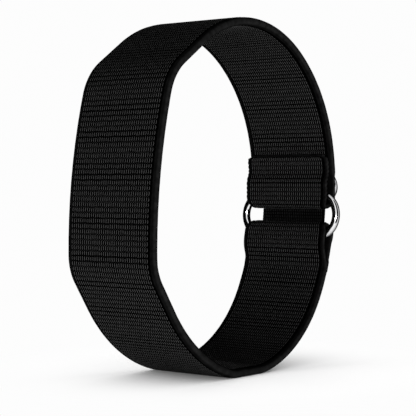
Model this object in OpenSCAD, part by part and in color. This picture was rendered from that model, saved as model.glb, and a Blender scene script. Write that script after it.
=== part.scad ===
// ESD wrist strap: a stiff woven band folded round a wire ring, with a threaded
// tail and a small keeper ring on its outside. Millimetres, +Z up, stands on its foot.
// Seen edge-on the band is a closed chain of arcs, drawn in XY and turned upright.
// The whole strap is one sweep whose section thins where it is pared to fold.

/* [Band] */
// Width of the wrist band
band_w = 20; // [19:0.5:24]
// Thickness of the wrist band
band_t = 1.5; // [1.4:0.05:1.6]
// Thickness of the woven facings let into both sides
weave_t = 0.35; // [0.25:0.05:0.4]
// Thickness of the pared band where it folds
fold_t = 0.95; // [0.85:0.05:1]
// How much narrower the pared band is on each side
fold_in = 0.25; // [0.2:0.05:0.4]

/* [Loop shape] */
// Bend radius of the flank that carries the buckle
flank_r = 42; // [40:0.5:44]
// Turn of the flank above its widest point
flank_a = 12; // [11.5:0.1:13]
// Bend radius of the shoulder above the flank
shoulder_r = 29; // [28:0.25:30]
// Turn of the shoulder
shoulder_a = 40; // [39:0.5:41]
// Bend radius of the crown
crown_r = 25; // [24:0.25:26]
// Turn of the crown
crown_a = 72.5; // [71:0.5:74]
// Bend radius of the brow above the flat panel
brow_r = 10; // [9:0.5:11]
// Turn of the brow
brow_a = 40; // [39:0.5:41]
// Bend radius of the nearly flat panel
panel_r = 102; // [98:1:106]
// Turn of the nearly flat panel
panel_a = 16; // [15:0.5:16.5]
// Bend radius of the chin below the panel
chin_r = 8.5; // [8:0.25:9]
// Turn of the chin
chin_a = 33.5; // [32.5:0.5:34.5]
// Bend radius of the heel
heel_r = 29.5; // [28.5:0.5:30.5]
// Turn of the heel
heel_a = 40.5; // [39.5:0.5:41.5]
// Bend radius of the toe beside the foot
toe_r = 6; // [5:0.25:7]
// Turn of the toe
toe_a = 15.5; // [15:0.25:16]
// Length of the flat foot
foot_l = 7; // [6:0.5:8]
// Bend radius of the sole beyond the foot
sole_r = 11; // [10:0.5:12]
// Turn of the sole
sole_a = 11.5; // [11:0.25:12]
// Bend radius of the belly
belly_r = 25; // [24:0.5:26]
// Turn of the belly
belly_a = 50; // [49:0.5:51]

/* [Buckle] */
// Wire radius of the buckle ring
wire_r = 0.775; // [0.7:0.025:0.8]
// Half the distance between the ring's two bars
ring_r = 4.19; // [4.1:0.05:4.4]
// Outside length of the buckle ring
ring_l = 23.4; // [21:0.1:26]
// Sideways place of the buckle ring
ring_side = 0.28; // [0:0.05:0.3]
// Gap between the two folds
fold_gap = 2.5; // [2.3:0.1:2.8]
// Angle of the gap below the flank's widest point
gap_at = 6.85; // [6.5:0.05:7.2]
// Free space round each bar of the ring
bar_play = 0.15; // [0.1:0.01:0.2]
// How far the lower bar lies inside the band's middle
low_inset = 0.85; // [0.8:0.05:0.9]
// How far a fold's edge reaches onto the end bends of the ring
turn_reach = 2.4; // [2.2:0.05:2.45]

/* [Tab] */
// Length of the tab from its bending line
tab_l = 5.95; // [5.5:0.05:6.5]
// Height of the bending line above the fold's turn
tab_up = 2.6; // [2.4:0.1:3]
// Corner cut of the tab
tab_corner = 0.9; // [0.5:0.1:1.2]
// Thickness of the tab's hook patch
tab_hook_t = 0.2; // [0.15:0.05:0.25]
// Thickness of the loop patch under the tab
tab_loop_t = 0.15; // [0.1:0.05:0.15]
// Space between patches that face each other
patch_gap = 0.1; // [0.08:0.01:0.12]

/* [Tail and keeper] */
// Width of the tail strap
tail_w = 15.1; // [14.5:0.1:15.2]
// Thickness of the tail strap
tail_t = 0.8; // [0.7:0.05:0.85]
// Sideways place of the tail and its ring
tail_side = -0.75; // [-0.8:0.05:0]
// Length of the free flap along the shoulder
flap_a = 30; // [26:1:32]
// Thickness of the flap's hook patch
hook_t = 0.45; // [0.4:0.05:0.45]
// Thickness of the flap's loop patch
loop_t = 0.4; // [0.3:0.05:0.4]
// Width of both patches
patch_w = 13; // [12:0.5:14]
// Corner radius of the flap's tip
tip_corner = 3; // [2:0.5:4]
// Thickness of the webbing keeper
keeper_t = 0.4; // [0.3:0.05:0.4]
// Width of the webbing keeper
keeper_w = 11.6; // [10:0.2:12]
// Wire radius of the keeper ring
keeper_r = 0.72; // [0.65:0.01:0.74]
// Half the distance between the keeper ring's bars
keeper_arm = 3; // [2.9:0.05:3.2]
// Outside length of the keeper ring
keeper_l = 18.8; // [18.7:0.1:19.5]
// Lean of the keeper ring out from the band
keeper_lean = 18; // [16:0.5:20]
// Running play of the keeper ring in its webbing
keeper_play = 0.08; // [0.06:0.01:0.1]
// Length of the hook patch's start above the flank
hook_lead = 2.1; // [2:0.1:2.4]
// Distance of the hook patch from the flap's tip
hook_end = 3.2; // [3:0.1:4]
// How far the loop patch reaches past the hook patch
loop_over = 0.6; // [0.5:0.1:1]

/* [Sewing] */
// Radius of the sewing thread
thread_r = 0.1; // [0.08:0.01:0.1]
// Length of one stitch
stitch_l = 1.6; // [1.4:0.1:1.8]
// Distance between stitches in a row
stitch_pitch = 2.2; // [2:0.1:2.3]
// Distance of the first row from an edge
row_edge = 0.5; // [0.4:0.05:0.6]
// Distance between two rows
row_gap = 1; // [0.8:0.05:1.1]

/* [Hidden] */
$fn = 96;
// how far a facet of a swept bend may leave its true arc
facet_dev = 0.02;
// seams: between a facing and its rim, and between layers that lie together
rim_wall = 0.05;
rim_seam = 0.1;
lay = 0.03;
half_t = band_t / 2;
half_fold = fold_t / 2;
half_tail = tail_t / 2;
half_w = band_w / 2;
fold_half_w = half_w - fold_in;
weave_w = band_w - band_t - 2 * rim_wall;

// --- the closed loop, counterclockwise from the foot ---
slope_h = 90 + flank_a + shoulder_a + crown_a;
ramp_h = slope_h + brow_a + panel_a + chin_a;
low_flank_a = 90 - sole_a - belly_a;

// a state is [point, heading]; a leg is [radius, turn] or [0, length]
function forward(h) = [cos(h), sin(h)];
function swing(r, a, b) = r * [sin(b) - sin(a), cos(a) - cos(b)];
function step(s, leg) = leg[0] == 0
  ? [s[0] + leg[1] * forward(s[1]), s[1]]
  : [s[0] + swing(leg[0], s[1], s[1] + leg[1]), s[1] + leg[1]];
function after(s, legs, n) = n == 0 ? s : step(after(s, legs, n - 1), legs[n - 1]);
function cross2(a, b) = a[0] * b[1] - a[1] * b[0];

// the loop's legs, with its two straights of length a and b
function loop_legs(a, b) = [
  [0, foot_l], [sole_r, sole_a], [belly_r, belly_a], [flank_r, low_flank_a],
  [flank_r, flank_a], [shoulder_r, shoulder_a], [crown_r, crown_a], [0, a],
  [brow_r, brow_a], [panel_r, panel_a], [chin_r, chin_a], [0, b],
  [heel_r, heel_a], [toe_r, 360 - ramp_h - heel_a]];
loop_start = [[-foot_l / 2, half_t], 0];
open_end = after(loop_start, loop_legs(0, 0), 14)[0] - loop_start[0];
// the two straights close the chain
det = cross2(forward(slope_h), forward(ramp_h));
slope_l = -cross2(open_end, forward(ramp_h)) / det;
ramp_l = cross2(open_end, forward(slope_h)) / det;
loop = loop_legs(slope_l, ramp_l);

// --- lanes: circles round the flank's centre, at an offset from the band's middle ---
flank_c = after(loop_start, loop, 4)[0] - [flank_r, 0];
function lane(o, a, way = 1) = [flank_c + (flank_r + o) * forward(a), a + 90 * way];
function along(o, a, way = 1) = [way * (flank_r + o), way * a];
function turn_of(l, o) = l / (flank_r + o) * 180 / PI;
function corner(p, q, d) = acos((p * p + d * d - q * q) / (2 * p * d));
// change from lane o to lane n by two arcs of radius r
function arcs(o, n, r) = let(p = flank_r + max(o, n) - r, q = flank_r + min(o, n) + r)
  [180 - corner(p, q, 2 * r), corner(q, p, 2 * r)];
function change(o, n, r, way = 1) = let(c = arcs(o, n, r))
  o > n ? [[way * r, way * c[0]], [-way * r, -way * c[1]]]
        : [[-way * r, -way * c[1]], [way * r, way * c[0]]];
function change_turn(o, n, r) = arcs(o, n, r)[0] - arcs(o, n, r)[1];

// --- the strap's sections: [outer face, inner face, half width, outer and inner recess] ---
plain = 0.02;
full = [half_t, -half_t, half_w, weave_t, weave_t];
thin_up = [half_t, half_t - fold_t, fold_half_w, weave_t, plain];
thin_low = [fold_t - half_t, -half_t, fold_half_w, plain, weave_t];
// a fold draws in where its edges ride up the ring's end bends
draw_in = max(0, fold_half_w + ring_side + ring_r + wire_r - ring_l / 2 - turn_reach);
drawn = [0, 0, -draw_in, 0, 0];
function rim_y(v) = v[2] - (v[0] - v[1]) / 2;
function core_outline(v) = let(r = (v[0] - v[1]) / 2, c = (v[0] + v[1]) / 2,
  y = rim_y(v), g = y - rim_wall) concat(
  [for (a = [0:45:180]) [c + r * cos(a), y + r * sin(a)]],
  [[v[1], g], [v[1] + v[4], g], [v[1] + v[4], -g], [v[1], -g]],
  [for (a = [180:45:360]) [c + r * cos(a), r * sin(a) - y]],
  [[v[0], -g], [v[0] - v[3], -g], [v[0] - v[3], g], [v[0], g]]);
function slab(a, b, g) = [[b, g], [a, g], [a, -g], [b, -g]];
function outer_outline(v) = slab(v[0] - v[3], v[0], rim_y(v) - rim_wall - rim_seam);
function inner_outline(v) = slab(v[1], v[1] + v[4], rim_y(v) - rim_wall - rim_seam);
// flat webbing with round edges: [thickness, half width]
function pill(v) = let(r = v[0] / 2, y = v[1] - r) concat(
  [for (a = [0:60:180]) [r * cos(a), y + r * sin(a)]],
  [for (a = [180:60:360]) [r * cos(a), r * sin(a) - y]]);

// --- stations along legs of [radius, turn, first section, last section] ---
function facets(leg) = leg[0] == 0 ? 1
  : ceil(abs(leg[1]) / (2 * acos(1 - facet_dev / abs(leg[0]))));
function stations(s, legs, i = 0) = i == len(legs) ? [[s, legs[i - 1][3]]]
  : let(leg = legs[i], n = facets(leg)) concat(
    [for (k = [0:n - 1]) [step(s, [leg[0], leg[1] * k / n]),
      leg[2] + (leg[3] - leg[2]) * k / n]],
    stations(step(s, leg), legs, i + 1));
function held(legs, v) = [for (leg = legs) [leg[0], leg[1], v, v]];
function varied(leg, v, w) = [[leg[0], leg[1], v, w]];

// --- where the folds lie: the strap's middle line turns round both bars ---
turn_r = wire_r + bar_play + half_fold;
fold_r = turn_r - half_t + half_fold;
bar_lane = -fold_r;
inner_lane = -2 * fold_r;
low_bar_lane = -low_inset;
low_inner_lane = low_bar_lane - fold_r;
low_outer_lane = low_bar_lane + fold_r;
turn_up = fold_gap / 2 + half_fold + turn_r;
up_turn_at = turn_of(turn_up, bar_lane) - gap_at;
low_turn_at = -turn_of(turn_up, low_bar_lane) - gap_at;
pared_l = 4.6;
pare_up_at = up_turn_at + turn_of(pared_l, 0);
pare_turn = 1.2;
hinge_gap = 0.15;
tab_at = up_turn_at + turn_of(tab_up, inner_lane);
fold_end_at = tab_at - turn_of(half_fold + hinge_gap, inner_lane);
low_ease = 5;
low_legs = change(0, low_inner_lane, low_ease);
low_lead = 1.65;
low_change_end = low_turn_at - turn_of(low_lead, low_bar_lane);
low_change_at = low_change_end - change_turn(0, low_inner_lane, low_ease);
pare_low = 20;
pare_step = 2.3;
return_cut = 2.2;
return_at = low_change_at + turn_of(return_cut, 0);
return_ease = 3;
return_legs = change(low_outer_lane, 0, return_ease, -1);
return_lead = 0.7;
return_top = low_turn_at - turn_of(return_lead, low_outer_lane);
return_low = return_top - change_turn(low_outer_lane, 0, return_ease);

// --- the strap from the tab's bending line round to the end of its return ---
up_fold = concat(
  held([along(inner_lane, fold_end_at - up_turn_at, -1)], thin_up),
  varied([fold_r, 90], thin_up, thin_up + drawn),
  varied([fold_r, 90], thin_up + drawn, thin_up),
  held([[flank_r, pare_up_at - up_turn_at]], thin_up));
pare = varied([flank_r, pare_turn], thin_up, full);
round_loop = held(concat([[flank_r, flank_a - pare_up_at - pare_turn]],
  [for (i = [5:13]) loop[i]], [loop[0], loop[1], loop[2]],
  [[flank_r, low_flank_a + low_change_at], [low_ease, pare_low]]), full);
low_pare = varied([low_ease, pare_step], full, thin_low);
low_fold = concat(
  held([[low_ease, low_legs[0][1] - pare_low - pare_step], low_legs[1],
    along(low_inner_lane, low_turn_at - low_change_end)], thin_low),
  varied([-fold_r, -90], thin_low, thin_low + drawn),
  varied([-fold_r, -90], thin_low + drawn, thin_low),
  held(concat([along(low_outer_lane, low_turn_at - return_top, -1)], return_legs,
    [along(0, return_low - return_at, -1)]), thin_low));
strap_start = lane(inner_lane, fold_end_at, -1);
outer_run = stations(strap_start, concat(up_fold, pare, round_loop));
strap_run = stations(strap_start, concat(up_fold, pare, round_loop, low_pare, low_fold));
inner_from = len(stations(strap_start, concat(up_fold, pare))) - 1;

// --- the tab lies on the inner face, its woven side to the wrist ---
tab_lane = -half_t - tab_loop_t - patch_gap - tab_hook_t - fold_t + half_t;
tab_ease = 3;
tab_lead = 0.4;
tab_patch_in = 1;
tab_shift = tab_lead + change_turn(inner_lane, tab_lane, tab_ease);
tab_turn = turn_of(tab_l, tab_lane);
tab_thin = [fold_t - half_t, -half_t, fold_half_w, plain, weave_t];
tab_nip = turn_of(tab_corner / 3, tab_lane);
function cut(d) = [0, 0, -d, 0, 0];
// a bending line's round end, as stations at these shares of its radius
round_at = [0.95, 0.7, 0.35, 0];
function bulge(k) = sqrt(1 - k * k);
function tab_round(k) = let(c = half_fold - half_t)
  [c + half_fold * bulge(k), c - half_fold * bulge(k), fold_half_w, plain, plain];
tab_round_legs = [for (i = [0:2]) [flank_r + inner_lane,
  turn_of(half_fold * (round_at[i] - round_at[i + 1]), inner_lane),
  tab_round(round_at[i]), tab_round(round_at[i + 1])]];
tab_legs = concat(tab_round_legs,
  varied([flank_r + inner_lane, 0.03], tab_round(0), tab_thin),
  held(concat([along(inner_lane, tab_lead)],
  change(inner_lane, tab_lane, tab_ease),
  [along(tab_lane, tab_turn - tab_shift - 3 * tab_nip)]), tab_thin),
  varied(along(tab_lane, tab_nip), tab_thin, tab_thin + cut(tab_corner * 0.06)),
  varied(along(tab_lane, tab_nip), tab_thin + cut(tab_corner * 0.06),
    tab_thin + cut(tab_corner * 0.26)),
  varied(along(tab_lane, tab_nip), tab_thin + cut(tab_corner * 0.26),
    tab_thin + cut(tab_corner)));
tab_start = lane(inner_lane, tab_at - turn_of(half_fold * round_at[0], inner_lane));
tab_run = stations(tab_start, tab_legs);
patch_from = tab_at + tab_shift + 0.2;
patch_to = tab_at + tab_turn - 4 * tab_nip;
tab_patch_w = weave_w - 2 * tab_patch_in;

// --- the keeper webbing and its ring on the outer face ---
keeper_inner = half_t + lay + keeper_t / 2;
keeper_turn = keeper_r + keeper_play + keeper_t / 2;
keeper_lane = keeper_inner + keeper_turn;
keeper_outer = keeper_lane + keeper_turn;
keeper_flat = keeper_inner + keeper_t + lay;
keeper_at = 5.3;
keeper_top_at = 11.4;
keeper_ease = 1.6;
keeper_lead = 0.3;
keeper_legs = held(concat([along(keeper_inner, keeper_top_at - keeper_at, -1)],
  [[keeper_turn, 180], along(keeper_outer, keeper_lead)],
  change(keeper_outer, keeper_flat, keeper_ease),
  [along(keeper_flat, keeper_top_at - keeper_at - keeper_lead
    - change_turn(keeper_outer, keeper_flat, keeper_ease))]), [keeper_t, keeper_w / 2]);

// --- the tail: sewn to the return, through the keeper ring, then the free flap ---
sewn = half_t + lay + half_tail;
tail_low = low_outer_lane + sewn;
tail_gap = 0.1;
tail_high = keeper_outer + keeper_t / 2 + tail_gap + half_tail;
flap_gap = 0.15;
flap_lane = half_t + loop_t + lay + flap_gap + hook_t + half_tail;
tail_ease = 3.3;
tail_end_at = keeper_at - 0.2;
tail_change_at = tail_end_at - change_turn(tail_low, tail_high, tail_ease);
flap_at = keeper_at + 1.1;
flap_lead = 0.2;
flap_ease = 3;
flap_change = change_turn(tail_high, flap_lane, flap_ease);
tail_v = [tail_t, tail_w / 2];
tail_legs = held(concat([along(sewn, return_low - return_at),
  [sewn - return_ease, -return_legs[1][1]], [sewn + return_ease, -return_legs[0][1]],
  along(tail_low, tail_change_at - return_top)],
  change(tail_low, tail_high, tail_ease),
  [along(tail_high, flap_at - tail_end_at - turn_of(half_tail + hinge_gap, tail_high))]),
  tail_v);
tip_nip = tip_corner / 4 / (shoulder_r + flap_lane) * 180 / PI;
function tip_v(k) = tail_v - [0, tip_corner * (1 - sqrt(1 - k * k / 16))];
flap_round = [for (i = [0:2]) [flank_r + tail_high,
  turn_of(half_tail * (round_at[i] - round_at[i + 1]), tail_high),
  [tail_t * bulge(round_at[i]), tail_w / 2], [tail_t * bulge(round_at[i + 1]), tail_w / 2]]];
flap_start = lane(tail_high, flap_at - turn_of(half_tail * round_at[0], tail_high));
flap_legs = concat(flap_round, held(concat([along(tail_high, flap_lead)],
  change(tail_high, flap_lane, flap_ease),
  [along(flap_lane, flank_a - flap_at - flap_lead - flap_change),
    [shoulder_r + flap_lane, flap_a - 4 * tip_nip]]), tail_v),
  [for (k = [0:3]) [shoulder_r + flap_lane, tip_nip, tip_v(k), tip_v(k + 1)]]);
shoulder_start = after(loop_start, loop, 5);
hook_from = hook_lead / shoulder_r * 180 / PI;
hook_to = flap_a - hook_end / shoulder_r * 180 / PI;
loop_turn = loop_over / shoulder_r * 180 / PI;
function on_shoulder(o, a) = step([shoulder_start[0] + o * forward(shoulder_start[1] - 90),
  shoulder_start[1]], [shoulder_r + o, a]);

// --- drawing ---
module upright() {
  rotate([90, 0, 0]) children();
}

module sideways() {
  translate([0, 0, tail_side]) children();
}

// place at a state, x outward, y across, z backward
module at(s) {
  translate(s[0]) rotate([90, 0, s[1] - 90]) children();
}

function fan(n) = [for (i = [1:n - 2]) [0, i, i + 1]];
// the core's end face: a fan over each rim and two triangles between
core_cap = concat([for (p = [3, 4, 5, 6, 16, 17, 0]) [2, p, p == 6 ? 16 : (p + 1) % 18]],
  [for (p = [12, 13, 14, 15, 7, 8, 9]) [11, p, p == 15 ? 7 : p + 1]],
  [[16, 6, 7], [16, 7, 15]]);

// closed skin over a list of [state, outline]
module sweep(run, cap) {
  n = len(run[0][1]);
  last = n * (len(run) - 1);
  points = [for (s = run, q = s[1])
    [s[0][0][0] + q[0] * sin(s[0][1]), s[0][0][1] - q[0] * cos(s[0][1]), q[1]]];
  sides = [for (i = [0:len(run) - 2], j = [0:n - 1], half = [0, 1])
    let(a = n * i + j, b = n * i + (j + 1) % n)
    half == 0 ? [a, b, b + n] : [a, b + n, a + n]];
  ends = [for (c = cap) each [[c[2], c[1], c[0]], [last + c[0], last + c[1], last + c[2]]]];
  polyhedron(points = points, faces = concat(sides, ends), convexity = 12);
}

// patch between two headings of the flank or shoulder, from offset o outward
module flank_patch(o, t, from, to, w) {
  translate(flank_c) rotate(from) rotate_extrude(angle = to - from)
    translate([flank_r + o, -w / 2]) square([t, w]);
}

module shoulder_patch(o, t, from, to) {
  h = shoulder_start[1];
  translate(shoulder_start[0] - shoulder_r * forward(h - 90)) rotate(h - 90 + from)
    rotate_extrude(angle = to - from) translate([shoulder_r + o, -patch_w / 2])
    square([t, patch_w]);
}

module wire_ring(arm, long, r) {
  b = long / 2 - r - arm;
  for (a = [0, 180]) {
    rotate(a) translate([0, b]) rotate_extrude(angle = 180) translate([arm, 0]) circle(r);
    rotate(a) translate([arm, b, 0]) rotate([90, 0, 0]) cylinder(h = 2 * b, r = r);
  }
}

// a row of stitches across the strap, lying on a surface
module stitch_row(s, count) {
  at(s) for (i = [0:count - 1]) {
    translate([lay, (i - (count - 1) / 2) * stitch_pitch, 0]) rotate([90, 0, 0])
      linear_extrude(stitch_l, center = true) intersection() {
        circle(thread_r);
        translate([0, -thread_r]) square([thread_r, 2 * thread_r]);
      }
  }
}

module band_core() {
  color([0.03, 0.03, 0.03]) upright()
    sweep([for (s = strap_run) [s[0], core_outline(s[1])]], core_cap);
}

module outer_facing() {
  color([0.05, 0.05, 0.05]) upright()
    sweep([for (s = outer_run) [s[0], outer_outline(s[1])]], fan(4));
}

module inner_facing() {
  color([0.05, 0.05, 0.05]) upright() sweep([for (i = [inner_from:len(strap_run) - 1])
    [strap_run[i][0], inner_outline(strap_run[i][1])]], fan(4));
}

up_bar = lane(bar_lane, turn_of(ring_r, bar_lane) - gap_at)[0];
low_bar = lane(low_bar_lane, -turn_of(ring_r, low_bar_lane) - gap_at)[0];
ring_dir = up_bar - low_bar;

module buckle_ring() {
  color([0.75, 0.75, 0.77]) upright()
    translate([each (up_bar + low_bar) / 2, ring_side])
    rotate([90, 0, atan2(ring_dir[1], ring_dir[0])])
    wire_ring(ring_r, ring_l, wire_r);
}

module tab_core() {
  color([0.03, 0.03, 0.03]) upright()
    sweep([for (s = tab_run) [s[0], core_outline(s[1])]], core_cap);
}

module tab_facing() {
  color([0.05, 0.05, 0.05]) upright()
    sweep([for (i = [4:len(tab_run) - 1]) [tab_run[i][0], inner_outline(tab_run[i][1])]],
    fan(4));
}

module tab_hook() {
  color([0.04, 0.04, 0.04]) upright() flank_patch(-half_t - tab_loop_t - patch_gap
    - tab_hook_t, tab_hook_t - lay, patch_from, patch_to, tab_patch_w);
}

module tab_loop() {
  color([0.04, 0.04, 0.04]) upright()
    flank_patch(-half_t - tab_loop_t, tab_loop_t - lay, patch_from, patch_to, tab_patch_w);
}

module tail_strap() {
  color([0.04, 0.04, 0.04]) upright() sideways()
    sweep([for (s = stations(lane(sewn, return_at), tail_legs)) [s[0], pill(s[1])]], fan(8));
}

module tail_flap() {
  color([0.04, 0.04, 0.04]) upright() sideways()
    sweep([for (s = stations(flap_start, flap_legs)) [s[0], pill(s[1])]], fan(8));
}

module tail_hook() {
  color([0.04, 0.04, 0.04]) upright() sideways()
    shoulder_patch(flap_lane - half_tail - hook_t, hook_t - lay, hook_from, hook_to);
}

module tail_loop() {
  color([0.04, 0.04, 0.04]) upright() sideways()
    shoulder_patch(half_t + lay, loop_t, hook_from - loop_turn, hook_to + loop_turn);
}

module keeper_loop() {
  color([0.05, 0.05, 0.05]) upright() sideways()
    sweep([for (s = stations(lane(keeper_inner, keeper_top_at, -1), keeper_legs))
      [s[0], pill(s[1])]], fan(8));
}

keeper_bar = lane(keeper_lane, keeper_at)[0];
keeper_dir = 90 + keeper_lean;

module keeper_ring() {
  color([0.75, 0.75, 0.77]) upright() sideways()
    translate(keeper_bar - keeper_arm * forward(keeper_dir)) rotate([90, 0, keeper_dir])
    wire_ring(keeper_arm, keeper_l, keeper_r);
}

// stitches in one row of each seam
fold_count = 6;
keeper_count = 4;
flap_count = 5;

module fold_stitches() {
  color([0.06, 0.06, 0.06]) upright() sideways() for (l = [row_edge, row_edge + row_gap]) {
    stitch_row(lane(sewn + half_tail, return_at + turn_of(l, sewn)), fold_count);
  }
}

module keeper_stitches() {
  color([0.06, 0.06, 0.06]) upright() sideways() for (l = [row_edge, row_edge + row_gap]) {
    stitch_row(lane(keeper_flat + keeper_t / 2, keeper_top_at - turn_of(l, keeper_flat)),
      keeper_count);
  }
}

module flap_stitches() {
  row_turn = row_edge / shoulder_r * 180 / PI;
  color([0.06, 0.06, 0.06]) upright() sideways()
    for (a = [hook_from + row_turn, hook_to - row_turn]) {
      stitch_row(on_shoulder(flap_lane + half_tail, a), flap_count);
    }
}

band_core();
outer_facing();
inner_facing();
buckle_ring();
tab_core();
tab_facing();
tab_hook();
tab_loop();
tail_strap();
tail_flap();
tail_hook();
tail_loop();
keeper_loop();
keeper_ring();
fold_stitches();
keeper_stitches();
flap_stitches();
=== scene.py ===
"""ESD wrist strap: woven band, wire rings, tail and keeper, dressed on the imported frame.

Sizes are in millimetres and angles in degrees until a mesh is made; meshes are in metres.
The band's route is drawn in the XZ plane as a chain of arcs, from the same sizes as the
solids, and each soft piece is a closed skin over outlines set along that route.
"""
from math import acos, ceil, cos, degrees, pi, radians, sin

import bpy
import numpy as np
from mathutils import Matrix, Vector


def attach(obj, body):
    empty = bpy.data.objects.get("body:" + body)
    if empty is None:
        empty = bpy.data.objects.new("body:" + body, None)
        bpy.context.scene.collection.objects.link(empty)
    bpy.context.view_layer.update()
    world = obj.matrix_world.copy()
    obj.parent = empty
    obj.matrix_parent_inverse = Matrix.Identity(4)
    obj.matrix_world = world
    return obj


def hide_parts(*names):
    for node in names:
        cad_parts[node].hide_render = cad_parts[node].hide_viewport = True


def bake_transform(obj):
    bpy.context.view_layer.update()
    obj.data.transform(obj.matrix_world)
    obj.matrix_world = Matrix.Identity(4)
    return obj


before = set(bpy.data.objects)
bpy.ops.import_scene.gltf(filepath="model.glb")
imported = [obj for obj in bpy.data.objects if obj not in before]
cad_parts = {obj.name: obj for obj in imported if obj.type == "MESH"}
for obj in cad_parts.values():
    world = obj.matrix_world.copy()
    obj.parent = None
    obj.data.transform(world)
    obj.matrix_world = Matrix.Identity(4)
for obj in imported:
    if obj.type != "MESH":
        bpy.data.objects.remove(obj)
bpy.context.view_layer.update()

MM = 0.001
Y_AXIS = np.array([0, 1, 0])

# --- sizes of the solids ---
BAND_W = 20
BAND_T = 1.5
WEAVE_T = 0.35  # a facing, let into each side
FOLD_T = 0.95  # the band where it is pared to fold
FOLD_IN = 0.25  # how much narrower it is there on each side
RIM_WALL = 0.05  # between a rim's middle line and a facing's bed
BARE = 0.02  # the only recess in a face that has no facing
LAY = 0.03  # seam between layers that lie together

# radius and turn of the loop's bends, from the buckle's flank up over the crown and round
# to the belly below it
FLANK_R, FLANK_A = 42, 12
SHOULDER_R, SHOULDER_A = 29, 40
CROWN_R, CROWN_A = 25, 72.5
BROW_R, BROW_A = 10, 40
PANEL_R, PANEL_A = 102, 16
CHIN_R, CHIN_A = 8.5, 33.5
HEEL_R, HEEL_A = 29.5, 40.5
TOE_R = 6  # its turn closes the loop
FOOT_L = 7  # the straight that the band stands on
SOLE_R, SOLE_A = 11, 11.5
BELLY_R, BELLY_A = 25, 50

# the buckle ring and the two folds round it
WIRE_R = 0.775
RING_R = 4.19  # half the distance between its bars
RING_L = 23.4  # outside length
RING_SIDE = -0.28  # off the band's middle
BAR_PLAY = 0.15  # free space round each bar
TURN_REACH = 2.4  # how far a fold's edge reaches onto the ring's end bends
FOLD_GAP = 2.5  # between the folds
GAP_AT = 6.85  # the gap's angle below the flank's widest point
LOW_INSET = 0.85  # how far the lower bar lies inside the band's middle

# where the band is pared and changes lane; an EASE is the radius of a lane change
PARED_L = 4.6  # length of the pared band above its upper fold
PARE_TURN = 1.2  # turn over which it thickens there
LOW_EASE = 5
LOW_LEAD = 1.65  # from the lower lane change up to the fold's turn
PARE_LOW = 20  # turn of that lane change before the band thins
PARE_STEP = 2.3  # turn over which it thins
RETURN_EASE = 3
RETURN_LEAD = 0.7  # from the fold's turn down to the return's lane change
RETURN_CUT = 2.2  # from the start of the lower lane change up to the return's end

# the tab, with its hook patch and the loop patch under it
TAB_L = 5.95  # from its bending line
TAB_UP = 2.6  # from the fold's turn up to the bending line
TAB_CORNER = 0.9
TAB_EASE = 3
TAB_LEAD = 0.4  # angle from the bending line to the lane change
TAB_HOOK_T = 0.2
TAB_LOOP_T = 0.15
PATCH_GAP = 0.1  # between the two
TAB_PATCH_IN = 1  # between the edges of a patch and of the facing
PATCH_LEAD = 0.2  # angle from the lane change to the patches

# the webbing keeper and its ring; angles are above the flank's widest point
KEEPER_T = 0.4
KEEPER_W = 11.6
KEEPER_AT = 5.3  # angle of the ring's upper bar
KEEPER_TOP_AT = 11.4  # angle of the webbing's upper end
KEEPER_EASE = 1.6
KEEPER_LEAD = 0.3  # angle from the bar to the lane change
KEEPER_R = 0.72  # the ring's wire
KEEPER_ARM = 3  # half the distance between its bars
KEEPER_L = 18.8  # outside length
KEEPER_LEAN = 18  # out from the band
KEEPER_PLAY = 0.08

# the tail and the flap that it ends in
TAIL_W = 15.1
TAIL_T = 0.8
TAIL_SIDE = 0.75  # off the band's middle, with the keeper and its ring
TAIL_EASE = 3.3
TAIL_GAP = 0.1  # between the tail and the webbing keeper
TAIL_END_AT = KEEPER_AT - 0.2  # angle where the tail has come out to its higher lane
FLAP_AT = KEEPER_AT + 1.1  # angle of the flap's bending line
FLAP_A = 30  # turn of the flap along the shoulder
FLAP_EASE = 3
FLAP_LEAD = 0.2  # angle from the bending line to the lane change
FLAP_GAP = 0.15  # between the hook patch and the loop patch
TIP_CORNER = 3
PATCH_W = 13  # width of the flap's patches
HOOK_T = 0.45
LOOP_T = 0.4
HOOK_LEAD = 2.1  # start of the hook patch above the flank
HOOK_END = 3.2  # between its end and the flap's tip
LOOP_OVER = 0.6  # how far the loop patch reaches past the hooks at each end

# the sewing
THREAD_R = 0.1
STITCH_L = 1.6
STITCH_PITCH = 2.2
ROW_EDGE = 0.5  # from an edge to the first row
ROW_GAP = 1

HALF_T, HALF_FOLD, HALF_TAIL = BAND_T / 2, FOLD_T / 2, TAIL_T / 2
FOLD_HALF_W = BAND_W / 2 - FOLD_IN
# a fold draws in where its edges ride up the ring's end bends
DRAW_IN = FOLD_HALF_W + abs(RING_SIDE) + RING_R + WIRE_R - RING_L / 2 - TURN_REACH

# --- sizes of the cloth ---
CLOTH_W = 18.02  # between the outermost warp yarns of a facing
OUTER_WARPS, INNER_WARPS = 36, 37  # raised warp yarns across a facing
OUTER_ROW, INNER_ROW = 0.94, 0.88  # from one weft row to the next
ROW_SHARES = (0, 0.2, 0.5, 0.8)  # stations in each weft row: its groove, then its float
YARN_H = 0.15  # relief of the weave
YARN_PROUD = 0.07  # a full yarn's height over the solid's face
SEAT = 0.01  # a facing's bed lies this far above the core's
GROOVE = 0.3  # open groove between a facing and its rim
SCALLOP = 0.2  # how far a facing's edge draws in between two rows
EDGE_W, EDGE_DROP = 0.16, 0.14  # the outermost yarn rounds off over this width and height
# how the grooves wander: size, and phase for each millimetre across and for each row
DRIFTS = ((0.035, 1.7, 2.1), (0.02, 4.1, -1.3))
INNER_DRIFT = 0.15  # share of it on the inside, where the grooves are nearly straight
TAB_NUB = 0.35  # share of their radius by which the tab's rims draw in between rows
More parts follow.
